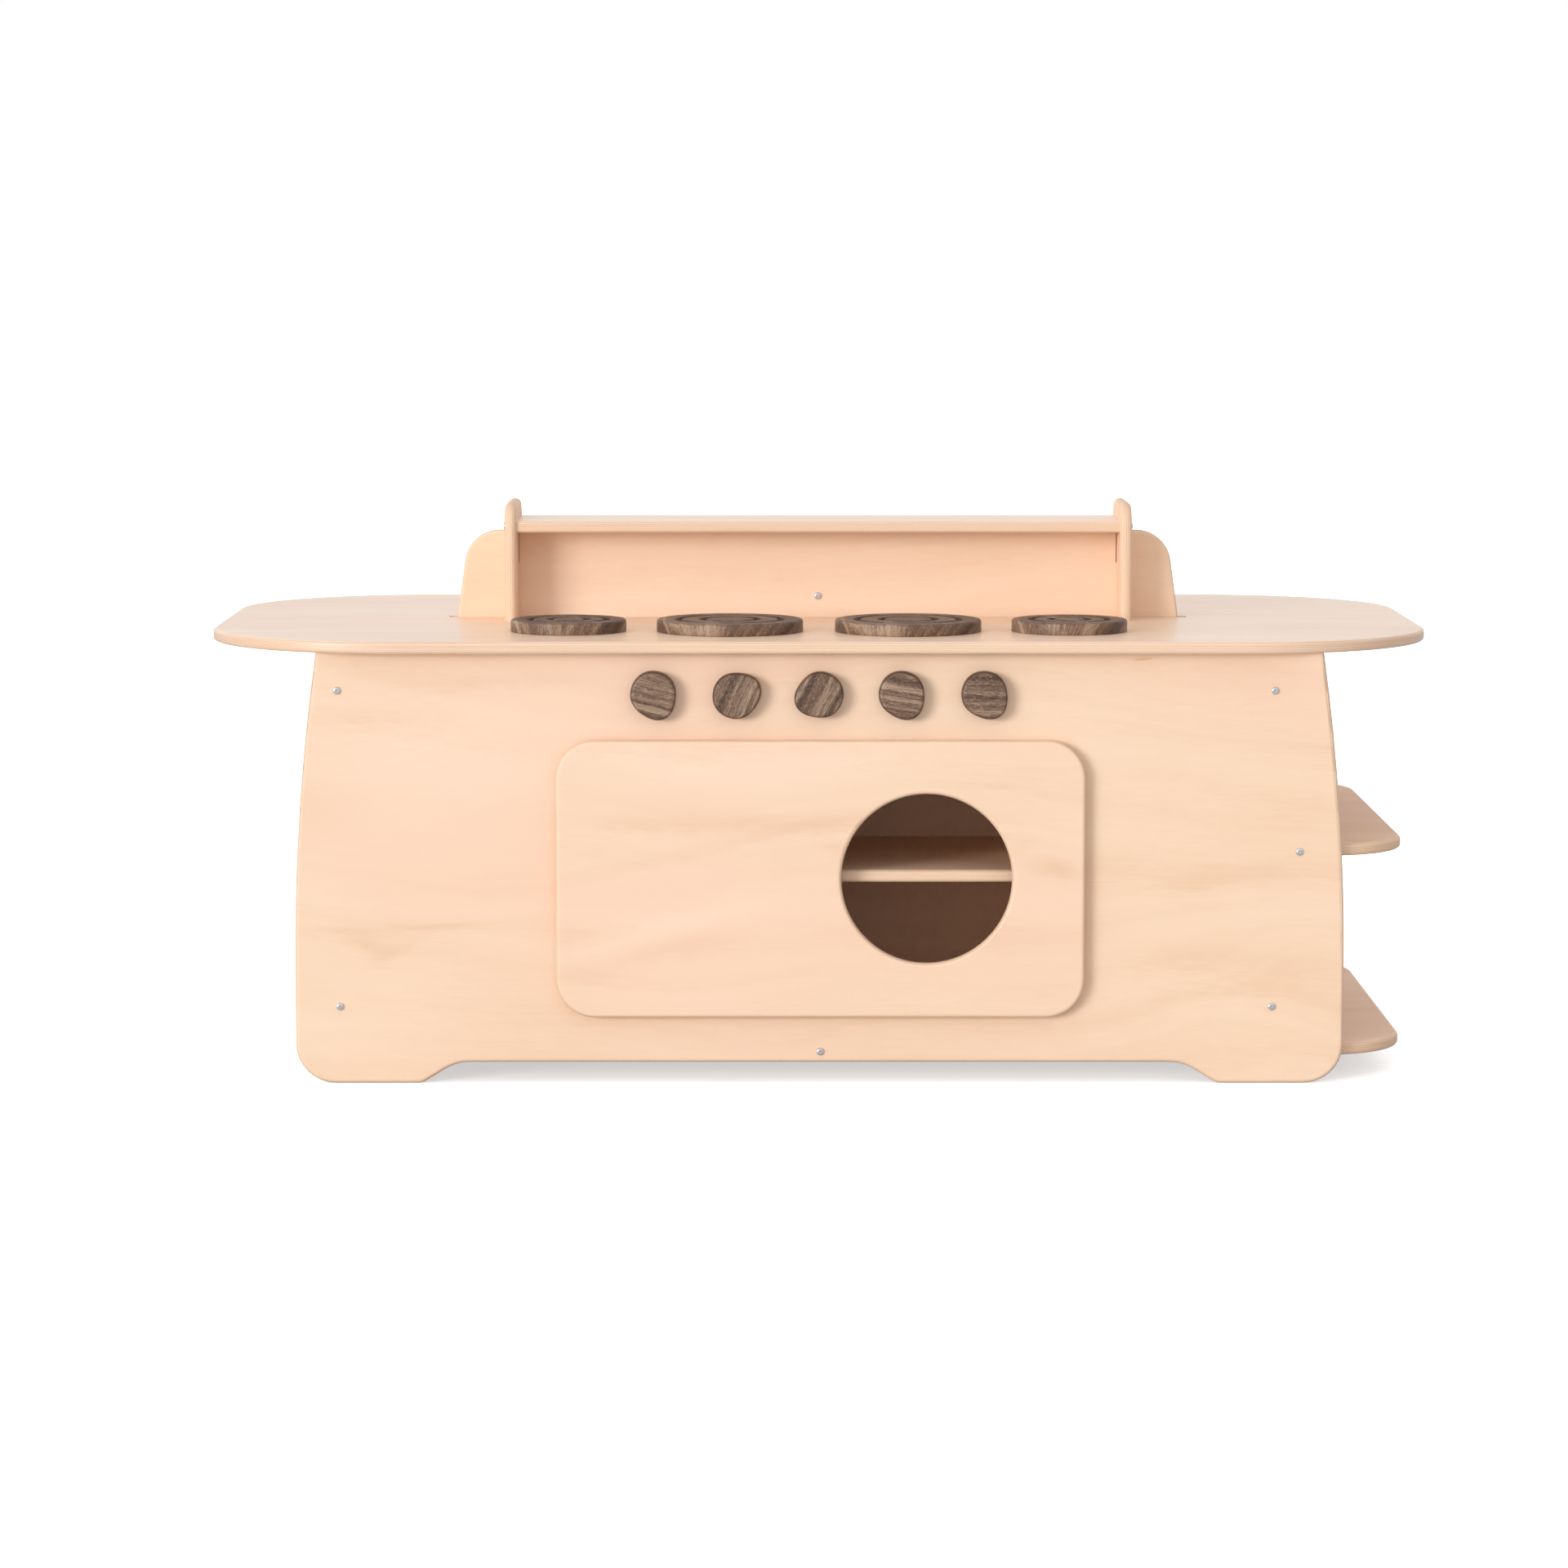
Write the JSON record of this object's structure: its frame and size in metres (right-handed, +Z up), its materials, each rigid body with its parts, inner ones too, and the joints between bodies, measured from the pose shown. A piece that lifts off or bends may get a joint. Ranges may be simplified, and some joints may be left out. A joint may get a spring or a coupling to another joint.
{
  "type": "toy kitchen",
  "caption": "Low double-sided plywood toy kitchen: rounded worktop with wooden hotplates, hinged oven door with a round window, turning pebble knobs, spice shelf and open end shelves.",
  "frame": {"origin": "centre of the bounding box at floor level, under the middle of the worktop", "axes": "+X to the right when facing the oven side, +Y from the oven side to the open storage side, +Z up"},
  "size_m": [1.524, 0.776, 0.697],
  "materials": {
    "birch_ply": "clear matt lacquer over pale birch-faced plywood, plies showing on the edges",
    "worktop_ply": "clear satin lacquer over pale birch-faced plywood, plies showing on the edges",
    "softwood": "planed softwood, bare",
    "walnut": "oiled walnut with straight open grain",
    "zinc_steel": "bright zinc plate",
    "magnet_cup": "nickel plate",
    "nylon": "natural white nylon"
  },
  "bodies": {
    "cabinet": {"brace_bolt": "zinc_steel", "burner_1": "walnut", "burner_2": "walnut", "burner_3": "walnut", "burner_4": "walnut", "burner_screws": "zinc_steel", "cabinet_screws": "zinc_steel", "centre_spine": "birch_ply", "counter_top": "worktop_ply", "cross_nuts": "zinc_steel", "end_panel_bolts": "zinc_steel", "floor_board": "birch_ply", "front_counter_cleat": "softwood", "front_panel": "birch_ply", "front_panel_bolts": "zinc_steel", "hinge_panel_screws": "zinc_steel", "knob_bushes": "nylon", "knob_washers": "zinc_steel", "left_end_panel": "birch_ply", "left_upright": "birch_ply", "lower_hinge_fixed_leaf": "zinc_steel", "lower_hinge_pin": "zinc_steel", "magnet_catch": "magnet_cup", "middle_end_shelf": "birch_ply", "oven_left_wall": "birch_ply", "oven_right_wall": "birch_ply", "oven_shelf": "birch_ply", "oven_top_panel": "birch_ply", "rear_brace": "birch_ply", "rear_counter_cleat": "softwood", "rear_panel": "birch_ply", "rear_panel_bolts": "zinc_steel", "rear_shelf": "birch_ply", "right_end_panel": "birch_ply", "right_upright": "birch_ply", "top_shelf": "worktop_ply", "upper_hinge_fixed_leaf": "zinc_steel", "upper_hinge_pin": "zinc_steel", "upright_bolts": "zinc_steel"},
    "door": {"oven_door": "birch_ply", "lower_hinge_door_leaf": "zinc_steel", "upper_hinge_door_leaf": "zinc_steel", "hinge_door_screws": "zinc_steel", "strike_plate": "zinc_steel"},
    "knob_1": {"knob_1": "walnut", "knob_spindle_1": "zinc_steel"},
    "knob_2": {"knob_2": "walnut", "knob_spindle_2": "zinc_steel"},
    "knob_3": {"knob_3": "walnut", "knob_spindle_3": "zinc_steel"},
    "knob_4": {"knob_4": "walnut", "knob_spindle_4": "zinc_steel"},
    "knob_5": {"knob_5": "walnut", "knob_spindle_5": "zinc_steel"}
  },
  "joints": [
    {"name": "door_hinge", "type": "hinge", "parent": "cabinet", "child": "door", "pos_m": [-0.3198, -0.3662, 0.255], "axis": [0, 0, -1], "range_deg": [0, 90]},
    {"name": "knob_1_turn", "type": "hinge", "parent": "cabinet", "child": "knob_1", "pos_m": [-0.2021, -0.3733, 0.4804], "axis": [0, -1, 0], "continuous": true},
    {"name": "knob_2_turn", "type": "hinge", "parent": "cabinet", "child": "knob_2", "pos_m": [-0.1013, -0.3733, 0.4804], "axis": [0, -1, 0], "continuous": true},
    {"name": "knob_3_turn", "type": "hinge", "parent": "cabinet", "child": "knob_3", "pos_m": [-0.0005, -0.3733, 0.4804], "axis": [0, -1, 0], "continuous": true},
    {"name": "knob_4_turn", "type": "hinge", "parent": "cabinet", "child": "knob_4", "pos_m": [0.1003, -0.3733, 0.4804], "axis": [0, -1, 0], "continuous": true},
    {"name": "knob_5_turn", "type": "hinge", "parent": "cabinet", "child": "knob_5", "pos_m": [0.2011, -0.3733, 0.4804], "axis": [0, -1, 0], "continuous": true}
  ]
}
